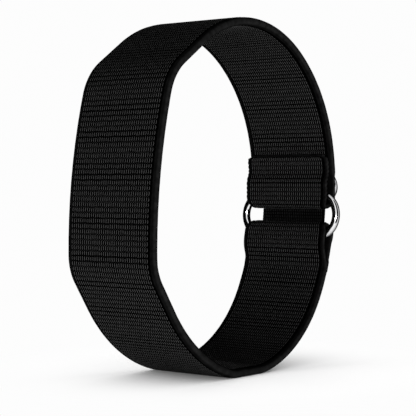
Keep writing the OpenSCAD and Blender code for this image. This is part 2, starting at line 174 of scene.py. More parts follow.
# heights in the weave, as shares of its relief
YARN_MID, YARN_SWING = 0.45, 0.5  # halfway between two yarns, and from there to a full one
YARN_CROWN = 1.3  # power that narrows a yarn's top
GAP_SHARE = 0.75  # a gap's depth against a yarn's height
DIVE = 0.22  # how much further down the deepest groove goes
# flat webbing: from one warp yarn to the next, from one row to the next, relief
TAIL_WEAVE, KEEPER_WEAVE = (0.45, 0.62, 0.09), (0.42, 0.5, 0.06)
WEB_PROUD = 0.02  # a full yarn's height over the solid's face
SELVEDGE = 0.4  # plain edge of the webbing
SELVEDGE_RIPPLE = 0.05  # how far it draws in between rows
SELVEDGE_HIGH = 0.55  # its height in the weave
rng = np.random.default_rng(20)


# --- the route: a state is (point, heading), a leg is [radius, turn] or [0, length] ---
def forward(h):
    return np.array([cos(radians(h)), sin(radians(h))])


def step(state, leg):
    (point, h), (r, turn) = state, leg[:2]
    if r == 0:
        return point + turn * forward(h), h
    side = np.array([sin(radians(h + turn)) - sin(radians(h)),
                     cos(radians(h)) - cos(radians(h + turn))])
    return point + r * side, h + turn


def after(state, legs):
    for leg in legs:
        state = step(state, leg)
    return state


def cross2(a, b):
    return a[0] * b[1] - a[1] * b[0]


SLOPE_H = 90 + FLANK_A + SHOULDER_A + CROWN_A
RAMP_H = SLOPE_H + BROW_A + PANEL_A + CHIN_A
LOW_FLANK_A = 90 - SOLE_A - BELLY_A


def loop_legs(slope, ramp):
    """The closed loop, counterclockwise from the foot, with its two straights."""
    return [[0, FOOT_L], [SOLE_R, SOLE_A], [BELLY_R, BELLY_A], [FLANK_R, LOW_FLANK_A],
            [FLANK_R, FLANK_A], [SHOULDER_R, SHOULDER_A], [CROWN_R, CROWN_A], [0, slope],
            [BROW_R, BROW_A], [PANEL_R, PANEL_A], [CHIN_R, CHIN_A], [0, ramp],
            [HEEL_R, HEEL_A], [TOE_R, 360 - RAMP_H - HEEL_A]]


# the two straights close the chain
LOOP_START = (np.array([-FOOT_L / 2, HALF_T]), 0)
open_end = after(LOOP_START, loop_legs(0, 0))[0] - LOOP_START[0]
det = cross2(forward(SLOPE_H), forward(RAMP_H))
LOOP = loop_legs(-cross2(open_end, forward(RAMP_H)) / det,
                 cross2(open_end, forward(SLOPE_H)) / det)
FLANK_C = after(LOOP_START, LOOP[:4])[0] - [FLANK_R, 0]
SHOULDER = after(LOOP_START, LOOP[:5])


# --- lanes: circles round the flank's centre, at an offset from the band's middle ---
def lane(o, a, way=1):
    """The state on lane o at angle a of the flank, heading up or down it."""
    return FLANK_C + (FLANK_R + o) * forward(a), a + 90 * way


def along(o, a, way=1):
    return [way * (FLANK_R + o), way * a]


def turn_of(length, o):
    return degrees(length / (FLANK_R + o))


def corner(p, q, d):
    return degrees(acos((p * p + d * d - q * q) / (2 * p * d)))


def arcs(o, n, r):
    p, q = FLANK_R + max(o, n) - r, FLANK_R + min(o, n) + r
    return 180 - corner(p, q, 2 * r), corner(q, p, 2 * r)


def change(o, n, r, way=1):
    """Two arcs that take a route from lane o to lane n."""
    big, small = arcs(o, n, r)
    if o > n:
        return [[way * r, way * big], [-way * r, -way * small]]
    return [[-way * r, -way * small], [way * r, way * big]]


def change_turn(o, n, r):
    big, small = arcs(o, n, r)
    return big - small


def on_shoulder(o, a):
    """The state at an offset and a turn along the shoulder, above the flank."""
    point, h = SHOULDER
    return step((point + o * forward(h - 90), h), [SHOULDER_R + o, a])


def shoulder_turn(length):
    return degrees(length / SHOULDER_R)


# --- sections along the route ---
# of the band: its outer face, inner face, half width, and the recess in each face
OUT, IN, HALF_W, OUT_CUT, IN_CUT = range(5)
FULL = np.array([HALF_T, -HALF_T, BAND_W / 2, WEAVE_T, WEAVE_T])
THIN_UP = np.array([HALF_T, HALF_T - FOLD_T, FOLD_HALF_W, WEAVE_T, BARE])
THIN_LOW = np.array([FOLD_T - HALF_T, -HALF_T, FOLD_HALF_W, BARE, WEAVE_T])
DRAWN = np.array([0, 0, -DRAW_IN, 0, 0])


def held(legs, v):
    """Legs along which a section stays the same."""
    return [[*leg[:2], v, v] for leg in legs]


def varied(leg, v, w):
    """A leg along which section v turns into section w."""
    return [[*leg[:2], v, w]]


class Run:
    """A route sampled finely: points, headings, sections and the length so far."""

    def __init__(self, start, legs, pitch=0.1):
        points, heads, values, length = [start[0]], [start[1]], [legs[0][2]], [0.0]
        for leg in legs:
            long = leg[1] if leg[0] == 0 else abs(leg[0] * radians(leg[1]))
            n = max(1, ceil(long / pitch))
            for k in range(1, n + 1):
                point, h = step(start, [leg[0], leg[1] * k / n])
                points.append(point)
                heads.append(h)
                values.append(leg[2] + (leg[3] - leg[2]) * k / n)
                length.append(length[-1] + long / n)
            start = step(start, leg)
        self.p, self.h = np.array(points), np.radians(heads)
        self.v, self.s = np.array(values), np.array(length)

    def even(self, pitch, face=None, shares=(0,)):
        """The run at an even pitch, measured on a face (OUT or IN) or on the route itself."""
        at = self.s
        if face is not None:
            points = self.place(self.v[:, face])
            gone = np.linalg.norm(np.diff(points, axis=0), axis=1)
            at = np.concatenate([[0], np.cumsum(gone)])
        new = Run.__new__(Run)
        whole = np.arange(int(at[-1] / pitch) + 1)[:, None]
        new.s = ((whole + np.array(shares)) * pitch).ravel()
        new.s = new.s[new.s < at[-1]]
        new.p = np.stack([np.interp(new.s, at, self.p[:, k]) for k in (0, 1)], 1)
        new.h = np.interp(new.s, at, self.h)
        new.v = np.stack([np.interp(new.s, at, c) for c in self.v.T], 1)
        return new

    def place(self, out):
        """Points at an offset to the outside of each station, in the XZ plane."""
        side = np.stack([np.sin(self.h), -np.cos(self.h)], 1)
        return self.p + np.asarray(out)[:, None] * side

    def skin(self, out, across):
        """Rings of points from each station's offsets and sideways places."""
        x = self.p[:, 0, None] + out * np.sin(self.h)[:, None]
        z = self.p[:, 1, None] - out * np.cos(self.h)[:, None]
        return np.stack([x, np.broadcast_to(across, x.shape), z], -1)


# --- where the folds lie: the band's middle line turns round both bars ---
TURN_R = WIRE_R + BAR_PLAY + HALF_FOLD
FOLD_R = TURN_R - HALF_T + HALF_FOLD
BAR_LANE = -FOLD_R
INNER_LANE = -2 * FOLD_R
LOW_BAR_LANE = -LOW_INSET
LOW_INNER_LANE = LOW_BAR_LANE - FOLD_R
LOW_OUTER_LANE = LOW_BAR_LANE + FOLD_R
TURN_UP = FOLD_GAP / 2 + HALF_FOLD + TURN_R
UP_TURN_AT = turn_of(TURN_UP, BAR_LANE) - GAP_AT
LOW_TURN_AT = -turn_of(TURN_UP, LOW_BAR_LANE) - GAP_AT
PARE_UP_AT = UP_TURN_AT + turn_of(PARED_L, 0)
TAB_AT = UP_TURN_AT + turn_of(TAB_UP, INNER_LANE)
low_legs = change(0, LOW_INNER_LANE, LOW_EASE)
LOW_CHANGE_END = LOW_TURN_AT - turn_of(LOW_LEAD, LOW_BAR_LANE)
LOW_CHANGE_AT = LOW_CHANGE_END - change_turn(0, LOW_INNER_LANE, LOW_EASE)
RETURN_AT = LOW_CHANGE_AT + turn_of(RETURN_CUT, 0)
return_legs = change(LOW_OUTER_LANE, 0, RETURN_EASE, -1)
RETURN_TOP = LOW_TURN_AT - turn_of(RETURN_LEAD, LOW_OUTER_LANE)
RETURN_LOW = RETURN_TOP - change_turn(LOW_OUTER_LANE, 0, RETURN_EASE)

# the band from the lowest line of its upper fold, round the loop, to the end of its return
turn_bottom = after(lane(INNER_LANE, UP_TURN_AT, -1), [[FOLD_R, 90]])
up_fold = (varied([FOLD_R, 90], THIN_UP + DRAWN, THIN_UP)
           + held([[FLANK_R, PARE_UP_AT - UP_TURN_AT]], THIN_UP)
           + varied([FLANK_R, PARE_TURN], THIN_UP, FULL))
round_loop = held([[FLANK_R, FLANK_A - PARE_UP_AT - PARE_TURN], *LOOP[5:], *LOOP[:3],
                   [FLANK_R, LOW_FLANK_A + LOW_CHANGE_AT], [LOW_EASE, PARE_LOW]], FULL)
low_fold = (
    varied([LOW_EASE, PARE_STEP], FULL, THIN_LOW)
    + held([[LOW_EASE, low_legs[0][1] - PARE_LOW - PARE_STEP], low_legs[1],
            along(LOW_INNER_LANE, LOW_TURN_AT - LOW_CHANGE_END)], THIN_LOW)
    + varied([-FOLD_R, -90], THIN_LOW, THIN_LOW + DRAWN)
    + varied([-FOLD_R, -90], THIN_LOW + DRAWN, THIN_LOW)
    + held([along(LOW_OUTER_LANE, LOW_TURN_AT - RETURN_TOP, -1), *return_legs,
            along(0, RETURN_LOW - RETURN_AT, -1)], THIN_LOW))
# the cut end of the return is pressed thin over the step that it covers, and tapers
PRESSED_T, PRESS_L, TAPER, TAPER_L = 0.3, 0.25, 0.26, 2.1
PRESSED = np.array([PRESSED_T - HALF_T, -HALF_T, FOLD_HALF_W, BARE, BARE])
pressed_end = (varied(along(0, turn_of(PRESS_L, 0), -1), THIN_LOW, PRESSED)
               + varied(along(0, turn_of(TAPER_L, 0), -1), PRESSED, PRESSED - [TAPER, 0, 0, 0, 0]))

# the tab: from that lowest line up the inside to its top edge, whose corners are cut round
TAB_LANE = -TAB_LOOP_T - PATCH_GAP - TAB_HOOK_T - FOLD_T
TAB_CUT_SHARES = (0, 0.06, 0.26, 1)
turn_back = (turn_bottom[0], turn_bottom[1] + 180)
tab_shift = TAB_LEAD + change_turn(INNER_LANE, TAB_LANE, TAB_EASE)
tab_turn = turn_of(TAB_L, TAB_LANE)
tab_nip = turn_of(TAB_CORNER / 3, TAB_LANE)
tab_cuts = [THIN_LOW + [0, 0, -TAB_CORNER * share, 0, 0] for share in TAB_CUT_SHARES]
tab_legs = (
    varied([-FOLD_R, -90], THIN_LOW + DRAWN, THIN_LOW)
    + held([along(INNER_LANE, TAB_AT - UP_TURN_AT + TAB_LEAD),
            *change(INNER_LANE, TAB_LANE, TAB_EASE),
            along(TAB_LANE, tab_turn - tab_shift - 3 * tab_nip)], THIN_LOW)
    + [[*along(TAB_LANE, tab_nip), v, w] for v, w in zip(tab_cuts, tab_cuts[1:])])
# the edging closes the tab's cut end with a narrow strip, a little lower than the facing
STRIP_LOWER = 0.15
closed = tab_cuts[-1] + [0, STRIP_LOWER, 0, 0, BARE - WEAVE_T]
tab_end = (varied(along(TAB_LANE, tab_nip / 6), tab_cuts[-1], closed)
           + held([along(TAB_LANE, tab_nip * 1.2)], closed))

# --- the keeper webbing and the tail, whose sections are a thickness and a half width ---
KEEPER_INNER = HALF_T + LAY + KEEPER_T / 2
KEEPER_TURN = KEEPER_R + KEEPER_PLAY + KEEPER_T / 2
KEEPER_OUTER = KEEPER_INNER + 2 * KEEPER_TURN
KEEPER_FLAT = KEEPER_INNER + KEEPER_T + LAY
keeper_legs = held([
    along(KEEPER_INNER, KEEPER_TOP_AT - KEEPER_AT, -1), [KEEPER_TURN, 180],
    along(KEEPER_OUTER, KEEPER_LEAD), *change(KEEPER_OUTER, KEEPER_FLAT, KEEPER_EASE),
    along(KEEPER_FLAT, KEEPER_TOP_AT - KEEPER_AT - KEEPER_LEAD
          - change_turn(KEEPER_OUTER, KEEPER_FLAT, KEEPER_EASE))],
    np.array([KEEPER_T, KEEPER_W / 2]))

# the tail from its sewn end, through the keeper ring, to the rounded tip of its flap
SEWN = HALF_T + LAY + HALF_TAIL
TAIL_LOW = LOW_OUTER_LANE + SEWN
TAIL_HIGH = KEEPER_OUTER + KEEPER_T / 2 + TAIL_GAP + HALF_TAIL
FLAP_LANE = HALF_T + LOOP_T + LAY + FLAP_GAP + HOOK_T + HALF_TAIL
TAIL_CHANGE_AT = TAIL_END_AT - change_turn(TAIL_LOW, TAIL_HIGH, TAIL_EASE)
FLAP_CHANGE = change_turn(TAIL_HIGH, FLAP_LANE, FLAP_EASE)
TAIL_V = np.array([TAIL_T, TAIL_W / 2])
TIP_NIPS = 8
tip_nip = degrees(TIP_CORNER / TIP_NIPS / (SHOULDER_R + FLAP_LANE))
tip_cuts = [TAIL_V - [0, TIP_CORNER * (1 - np.sqrt(1 - (k / TIP_NIPS) ** 2))]
            for k in range(TIP_NIPS + 1)]
tail_legs = (
    held([along(SEWN, RETURN_LOW - RETURN_AT), [SEWN - RETURN_EASE, -return_legs[1][1]],
          [SEWN + RETURN_EASE, -return_legs[0][1]],
          along(TAIL_LOW, TAIL_CHANGE_AT - RETURN_TOP), *change(TAIL_LOW, TAIL_HIGH, TAIL_EASE),
          along(TAIL_HIGH, FLAP_AT - TAIL_END_AT + FLAP_LEAD),
          *change(TAIL_HIGH, FLAP_LANE, FLAP_EASE),
          along(FLAP_LANE, FLANK_A - FLAP_AT - FLAP_LEAD - FLAP_CHANGE),
          [SHOULDER_R + FLAP_LANE, FLAP_A - TIP_NIPS * tip_nip]], TAIL_V)
    + [[SHOULDER_R + FLAP_LANE, tip_nip, v, w] for v, w in zip(tip_cuts, tip_cuts[1:])])


# --- meshes ---
def make_mesh(name, points, faces, material, uv=None, relief=None):
    """A smooth-shaded mesh from points in millimetres."""
    mesh = bpy.data.meshes.new(name)
    mesh.from_pydata((np.asarray(points) * MM).tolist(), [], faces)
    mesh.polygons.foreach_set("use_smooth", [True] * len(mesh.polygons))
    if uv is not None:
        corner_point = np.empty(len(mesh.loops), int)
        mesh.loops.foreach_get("vertex_index", corner_point)
        layer = mesh.uv_layers.new(name="cloth")
        layer.data.foreach_set("uv", np.asarray(uv)[corner_point].ravel())
    if relief is not None:
        field = mesh.attributes.new("relief", "FLOAT", "POINT")
        field.data.foreach_set("value", np.asarray(relief, np.float32))
    mesh.materials.append(material)
    mesh.update()
    piece = bpy.data.objects.new(name, mesh)
    bpy.context.scene.collection.objects.link(piece)
    return piece


def skin_faces(rings, n, first=0):
    """Quads over rings of n points each, with an n-gon at each end."""
    start = first + np.arange(rings - 1)[:, None] * n + np.arange(n)[None]
    turn = first + np.arange(rings - 1)[:, None] * n + np.roll(np.arange(n), -1)[None]
    quads = np.stack([start, turn, turn + n, start + n], -1).reshape(-1, 4).tolist()
    last = first + (rings - 1) * n
    return quads + [list(range(first + n - 1, first - 1, -1)), list(range(last, last + n))]


def skin_piece(name, rings, material, uv, relief):
    """A closed skin over rings of points; each array holds a value for each point."""
    faces = skin_faces(rings.shape[0], rings.shape[1])
    flat = None if uv is None else uv.reshape(-1, 2)
    return make_mesh(name, rings.reshape(-1, 3), faces, material, flat, relief.reshape(-1))


def tube_rings(path, radius, around, normal, closed=False):
    """Rings of points round a path that keeps to the plane across the normal."""
    path = np.asarray(path, float)
    if closed:
        ahead = np.roll(path, -1, 0) - np.roll(path, 1, 0)
    else:
        ahead = np.gradient(path, axis=0)
    ahead /= np.linalg.norm(ahead, axis=1)[:, None]
    side = np.cross(ahead, normal)
    side /= np.linalg.norm(side, axis=1)[:, None]
    up = np.cross(side, ahead)
    a = np.linspace(0, 2 * pi, around, endpoint=False)[None, :, None]
    return path[:, None] + radius * (np.cos(a) * side[:, None] + np.sin(a) * up[:, None])


# --- the weave: a height over the cloth, from 0 in the deepest gap to 1 on a full yarn ---
def row_depths(count):
    """How deep each weft row's groove is, with runs of shallower and deeper ones."""
    mean, swing, spread, least = 0.58, 0.34, 0.12, 0.15
    row = np.arange(count)
    # a sine over the rows whose own beat wanders
    wave = np.sin(row * 0.93 + 1.1 * np.sin(row * 0.21))
    return np.clip(mean + swing * wave + rng.normal(0, spread, count), least, 1)


def weave(u, v, warp, row):
    """Warp yarns that float over each weft row; in the groove between two rows they dip
    and the yarns that lie between them show instead."""
    # the small addend keeps a groove from being rounded into the row before
    at = v / row + 1e-6
    j = np.floor(at).astype(int)
    t = at - j
    groove = np.clip(1 - np.minimum(t, 1 - t) / ROW_SHARES[1], 0, 1)
    side = -np.cos(2 * pi * u / warp) * (1 - 2 * groove)
    yarn = np.where(side > 0, np.clip(side, 0, 1) ** YARN_CROWN, GAP_SHARE * side)
    depth = row_depths(int(j.max()) + 3)
    dive = np.where(t < 0.5, depth[j], depth[j + 1]) * groove
    return np.clip(YARN_MID + YARN_SWING * yarn - DIVE * dive ** 2, 0, 1)


def between_rows(s, row):
    """1 in the groove between two weft rows, 0 in the middle of a row."""
    return 1 - np.abs(np.sin(pi * s / row))


def facing(name, legs, start, face, material):
    """A woven facing let into one face of the band, with a scalloped edge."""
    outer = face == OUT
    way = 1 if outer else -1
    warps, row = (OUTER_WARPS, OUTER_ROW) if outer else (INNER_WARPS, INNER_ROW)
    run = Run(start, legs).even(row, face, ROW_SHARES)
    cells, full_half, warp = 4 * warps, CLOTH_W / 2, CLOTH_W / warps
    u = np.linspace(-full_half, full_half, cells + 1)[None] * np.ones((len(run.s), 1))
    v = run.s[:, None] * np.ones((1, cells + 1))
    high = weave(u, v, warp, row)
    # each weft row turns round the outermost warp yarn
    rim = run.v[:, HALF_W] - (run.v[:, OUT] - run.v[:, IN]) / 2 - GROOVE
    half = rim[:, None] - SCALLOP * between_rows(run.s, row)[:, None]
    edge = np.clip((full_half - np.abs(u)) / EDGE_W, 0, 1)
    solid = run.v[:, face][:, None] * way
    top = solid - YARN_H * (1 - high) + YARN_PROUD
    top = top - EDGE_DROP * (1 - np.sqrt(1 - (1 - edge) ** 2))
    bed = solid - WEAVE_T + SEAT
    out = np.concatenate([bed, top, bed], 1) * way
    wide = np.concatenate([-half, u / full_half * half, half], 1)
    uv = np.stack([np.concatenate([u[:, :1], u, u[:, -1:]], 1) / warp,
                   np.concatenate([v[:, :1], v, v[:, -1:]], 1) / row], -1)
    # the weave's height, which the woven material also turns into painted shade in the gaps and a
    # painted highlight on the floats; it falls to 0 at the facing's edge and on its bed, which are
    # painted dark
    relief = np.concatenate([0 * bed, high * edge ** 0.5, 0 * bed], 1)
    rings = run.skin(out, wide)
    # each groove wanders along the band, with the ends of the rows beside it
    groove_lead = 0.45
    j = np.floor(run.s / row + groove_lead)[:, None]
    drift = sum(size * np.sin(across * wide + down * j) for size, across, down in DRIFTS)
    drift *= 1 if outer else INNER_DRIFT
    rings[..., 0] += drift * np.cos(run.h)[:, None]
    rings[..., 2] += drift * np.sin(run.h)[:, None]
    if not outer:
        rings, uv, relief = rings[:, ::-1], uv[:, ::-1], relief[:, ::-1]
    return skin_piece(name, rings, material, uv, relief)


def core(name, legs, start, material, pitch=0.4, nub=0.0):
    """The smooth core: two round rims and the thinner bed between them. The nub is how
    far the rims draw in between the inside's rows, as a share of their radius."""
    run = Run(start, legs).even(pitch)
    v = run.v
    r, c = (v[:, OUT] - v[:, IN]) / 2, (v[:, OUT] + v[:, IN]) / 2
    y = v[:, HALF_W] - r
    # the rims' reach varies by about a hundredth along the band
    swell = 1 + 0.012 * np.sin(run.s * 1.9) + 0.008 * np.sin(run.s * 4.7 + 1)
    swell -= nub * between_rows(run.s, INNER_ROW)
    # points inwards from a rim's middle: on its wall, at the bed's corner and on the bed
    insets, rim_points = (0.03, 0.08, 0.4), 14
    out, wide, relief = [], [], []
    for way, turn in ((1, 0), (-1, pi)):
        for a in np.linspace(0, pi, rim_points):
            out.append(c + r * np.cos(a + turn))
            wide.append(way * (y + r * np.sin(a) * swell))
            # 1 at a rim's middle, 0 where it meets the faces and 0 on the bed: the edging's
            # material paints its highlight and shade from it
            relief.append(np.full_like(y, sin(a)))
        if way > 0:
            bed, face = v[:, IN] + v[:, IN_CUT], v[:, IN]
        else:
            bed, face = v[:, OUT] - v[:, OUT_CUT], v[:, OUT]
        out += [face, bed, bed, bed, bed, face]
        wide += [way * (y - g) for g in insets] + [-way * (y - g) for g in insets[::-1]]
        relief += [np.zeros_like(y)] * 6
    return skin_piece(name, run.skin(np.stack(out, 1), np.stack(wide, 1)), material,
                      None, np.stack(relief, 1))


def webbing(name, legs, start, material, cloth):
    """Flat webbing woven on both faces, with round selvedges."""
    warp, row, depth = cloth
    run = Run(start, legs).even(row, None, ROW_SHARES)
    t, half = run.v[:, :1], run.v[:, 1:]
    every = np.ones_like(t)
    full_half = half.max()
    n = 4 * int(round((full_half - SELVEDGE) / warp) * 2)
    flat = np.linspace(-1, 1, n + 1)[None]
    u = flat * (full_half - t.max() / 2)
    high = weave(u * every, run.s[:, None] * np.ones_like(u), warp, row)
    face = t / 2 - depth * (1 - high) + WEB_PROUD
    ripple = SELVEDGE_RIPPLE * between_rows(run.s, row)[:, None]
    bend = np.linspace(0, pi, 9)[None, 1:-1]
    rim = t / 2 * np.cos(bend)
    rim_wide = half - t / 2 + (t / 2 - ripple) * np.sin(bend)
    rim_relief = np.full_like(rim, SELVEDGE_HIGH)
    wide = flat * (half - t / 2)
    out = np.concatenate([face, rim, -face[:, ::-1], -rim], 1)
    across = np.concatenate([wide, rim_wide, wide[:, ::-1], -rim_wide], 1) + TAIL_SIDE
    # the weave's height, from which the material paints shade in the gaps and a highlight on the
    # floats; the selvedges get one fixed middling value
    relief = np.concatenate([high, rim_relief, high[:, ::-1], rim_relief], 1)
    uu = np.concatenate([u * every, rim_wide, u[:, ::-1] * every, -rim_wide], 1) / warp
    vv = run.s[:, None] / row * np.ones_like(uu)
    return skin_piece(name, run.skin(out, across), material, np.stack([uu, vv], -1), relief)


def wire_ring(name, middle, toward, arm, long, r, side, material):
    """A ring of round wire: two straight bars and two half-round ends."""
    end_points, bar_points, around = 49, 12, 28
    reach = long / 2 - r - arm
    a = np.linspace(-pi / 2, pi / 2, end_points)
    end = np.stack([arm * np.sin(a), reach + arm * np.cos(a)], 1)
    y = np.linspace(reach, -reach, bar_points + 2)[1:-1]
    bar = np.stack([np.full(bar_points, float(arm)), y], 1)
    flat = np.concatenate([end, bar, -end, -bar])
    path = np.stack([middle[0] + toward[0] * flat[:, 0], side + flat[:, 1],
                     middle[1] + toward[1] * flat[:, 0]], 1)
    rings = tube_rings(path, r, around, (-toward[1], 0, toward[0]), True)
    n, m = rings.shape[:2]
    i, j = np.arange(n)[:, None], np.arange(m)[None]
    nexti, nextj = (i + 1) % n, (j + 1) % m
    faces = np.stack([i * m + j, nexti * m + j, nexti * m + nextj, i * m + nextj], -1)
    return make_mesh(name, rings.reshape(-1, 3), faces.reshape(-1, 4).tolist(), material)


def stitches(name, states, count, material):
    """Rows of sewing thread across the strap; each stitch dips in at both ends."""
    around, high, dip, skew, uv_scale, relief = 8, 0.045, 0.13, 0.03, 2.0, 0.8
    share = np.linspace(-1, 1, 9)
    lift = high - dip * np.abs(share) ** 5
    points, faces = [], []
    for point, h in states:
        out = np.array([sin(radians(h)), 0, -cos(radians(h))])
        for k in range(count):
            y = TAIL_SIDE + (k - (count - 1) / 2) * STITCH_PITCH + share * STITCH_L / 2
            lean = np.array([cos(radians(h)), 0, sin(radians(h))]) * rng.normal(0, skew)
            path = np.stack([np.full_like(y, point[0]), y, np.full_like(y, point[1])], 1)
            path = path + lift[:, None] * out + share[:, None] * lean
            faces += skin_faces(len(path), around, len(points) * len(path) * around)
            points.append(tube_rings(path, THREAD_R, around, out).reshape(-1, 3))
    points = np.concatenate(points)
    uv = np.stack([points[:, 1] * uv_scale, points[:, 2] * uv_scale], 1)
    return make_mesh(name, points, faces, material, uv, np.full(len(points), relief))


def pile(name, start, legs, thick, half, side, material, hooks, way):
    """A hook or loop patch: a thin cloth with stiff hooks or soft curls standing on it."""
    pitch, spot, around, reach = 0.5, 0.55, 5, 0.26
    # a hook stops short of the half circle that a soft curl closes
    curl, thread_r = (0.72, 0.045) if hooks else (1.0, 0.03)
    bend = np.linspace(0, 1, 6) * pi * curl
    run = Run(start, held(legs, np.zeros(2))).even(pitch)
    base, slope_w, slope_h = thick * 0.4, 0.1, 0.04
    inner = half - slope_w
    wide = np.array([-half, -inner, inner, half, half, inner, -inner, -half])
    low, high = slope_h, base - slope_h
    out = way * np.array([low, 0, 0, low, high, base, base, high])
    shell = run.skin(np.tile(out, (len(run.s), 1)), wide[None] + side)
    if way > 0:
        shell = shell[:, ::-1]
    points, faces = [shell.reshape(-1, 3)], skin_faces(*shell.shape[:2])
    count = len(points[0])
    for i in range(int(run.s[-1] / spot)):
        for j in range(int(2 * half / spot)):
            at = (i + 0.7) * spot
            k = min(int(at / pitch), len(run.s) - 1)
            h = run.h[k]
            outward = way * np.array([sin(h), 0, -cos(h)])
            forth = np.array([cos(h), 0, sin(h)])
            turn = (0 if hooks else 2 * pi * rng.random()) + pi * (j % 2)
            lean = forth * cos(turn) + Y_AXIS * sin(turn)
            foot = np.array([run.p[k, 0], side - half + (j + 0.7) * spot, run.p[k, 1]])
            foot = foot + forth * (at - run.s[k]) + outward * base * 0.8
            tall = (thick - base) * (0.95 if hooks else 0.55 + 0.4 * rng.random())
            rise, over = tall * np.sin(bend), reach * (1 - np.cos(bend))
            path = foot + rise[:, None] * outward + over[:, None] * lean
            rings = tube_rings(path, thread_r, around, np.cross(outward, lean))
            faces += skin_faces(len(path), around, count)
            points.append(rings.reshape(-1, 3))
            count += len(points[-1])
    return make_mesh(name, np.concatenate(points), faces, material)


# --- materials ---
class Shader:
    """A Principled material and short calls for its nodes."""

    def __init__(self, name, **sockets):
        self.material = bpy.data.materials.new(name)
        self.material.use_nodes = True
        self.tree = self.material.node_tree
        self.main = self.tree.nodes["Principled BSDF"]
        for key, value in sockets.items():
            self.main.inputs[key.replace("_", " ")].default_value = value

    def add(self, kind, inputs=(), **settings):
        made = self.tree.nodes.new(kind)
        for key, value in settings.items():
            setattr(made, key, value)
        for key, value in dict(inputs).items():
            if isinstance(value, bpy.types.NodeSocket):
                self.tree.links.new(value, made.inputs[key])
            else:
                made.inputs[key].default_value = value
        return made

    def math(self, operation, a, b=0.0):
        return self.add("ShaderNodeMath", {0: a, 1: b}, operation=operation).outputs[0]

    def vector(self, operation, a, b):
        made = self.add("ShaderNodeVectorMath", {0: a, 1: b}, operation=operation)
        return made.outputs["Value" if operation == "DISTANCE" else "Vector"]

    def ramp(self, value, *stops):
        made = self.add("ShaderNodeValToRGB", {"Fac": value})
        marks = made.color_ramp.elements
        while len(marks) < len(stops):
            marks.new(0.5)
        for mark, (at, level) in zip(marks, stops):
            mark.position = at
            mark.color = (*level, 1) if isinstance(level, tuple) else (level, level, level, 1)
        return made.outputs[0]

    def noise(self, vector, scale, detail=3.0, rough=0.55):
        return self.add("ShaderNodeTexNoise", {"Vector": vector, "Scale": scale,
                        "Detail": detail, "Roughness": rough}).outputs["Fac"]

    def mix(self, factor, a, b, blend="MIX"):
        made = self.add("ShaderNodeMix", data_type="RGBA", blend_type=blend)
        for key, value in (("Factor", factor), (6, a), (7, b)):
            if isinstance(value, bpy.types.NodeSocket):
                self.tree.links.new(value, made.inputs[key])
            else:
                made.inputs[key].default_value = value
        return made.outputs[2]

    def link(self, socket, name):
        self.tree.links.new(socket, self.main.inputs[name])

    def bump(self, height, strength, distance):
        made = self.add("ShaderNodeBump", {"Height": height, "Strength": strength,
                        "Distance": distance})
        self.link(made.outputs[0], "Normal")


def woven(name, low, mid, high, rough=0.52):
    """Spun filament yarn, coloured from the weave's height: painted shade in the gaps and a
    painted highlight along each raised float.
    """
    s = Shader(name, Specular_IOR_Level=0.0)
    cloth = s.add("ShaderNodeUVMap", uv_map="cloth").outputs[0]
    relief = s.add("ShaderNodeAttribute", attribute_name="relief").outputs["Fac"]
    fibre = s.noise(s.vector("MULTIPLY", cloth, (9.0, 0.8, 1.0)), 2.3, 4.0, 0.6)
    patch = s.noise(s.vector("MULTIPLY", cloth, (0.9, 1.7, 1.0)), 1.0, 2.0)
    # painted shade and highlight: the colour runs from near black in the weave's deepest gaps up
    # to its lightest along the tops of the floats
    base = s.ramp(relief, (0.0, low), (0.62, mid), (0.95, high))
    streak = s.ramp(fibre, (0.3, 0.62), (0.7, 1.0))
    tone = s.ramp(patch, (0.3, 0.7), (0.7, 1.0))
    s.link(s.mix(1.0, s.mix(1.0, base, streak, "MULTIPLY"), tone, "MULTIPLY"), "Base Color")
    s.link(s.math("ADD", s.math("MULTIPLY", fibre, 0.22), rough - 0.1), "Roughness")
    s.bump(fibre, 0.35, 0.00004)
    return s.material


def smooth_core(name):
    """Dense black edging: nearly plain, with a fine grain, a painted highlight along the middle of
    each rim and painted shade where its rims turn to the faces."""
    s = Shader(name, Specular_IOR_Level=0.0)
    place = s.add("ShaderNodeTexCoord").outputs["Object"]
    grain = s.noise(place, 5200.0, 3.0)
    cloud = s.noise(place, 900.0, 4.0)
    rim = s.add("ShaderNodeAttribute", attribute_name="relief").outputs["Fac"]
    base = s.ramp(cloud, (0.35, 0.009), (0.7, 0.02))
    # painted highlight and shade: full colour where a rim faces straight out sideways, 0.3 of it
    # where the rim turns to the faces and on the bed
    s.link(s.mix(1.0, base, s.ramp(rim, (0.55, 0.3), (0.88, 1.0)), "MULTIPLY"), "Base Color")
    s.link(s.math("ADD", s.math("MULTIPLY", cloud, 0.2), 0.4), "Roughness")
    s.bump(grain, 0.25, 0.00003)
    return s.material


def napped(name):
    """Hook and loop: a dull, deep pile."""
    s = Shader(name, Specular_IOR_Level=0.0, Roughness=0.75)
    place = s.add("ShaderNodeTexCoord").outputs["Object"]
    nap = s.noise(place, 3600.0, 5.0, 0.7)
    s.link(s.ramp(nap, (0.35, 0.003), (0.7, 0.012)), "Base Color")
    s.bump(nap, 0.7, 0.0002)
    return s.material


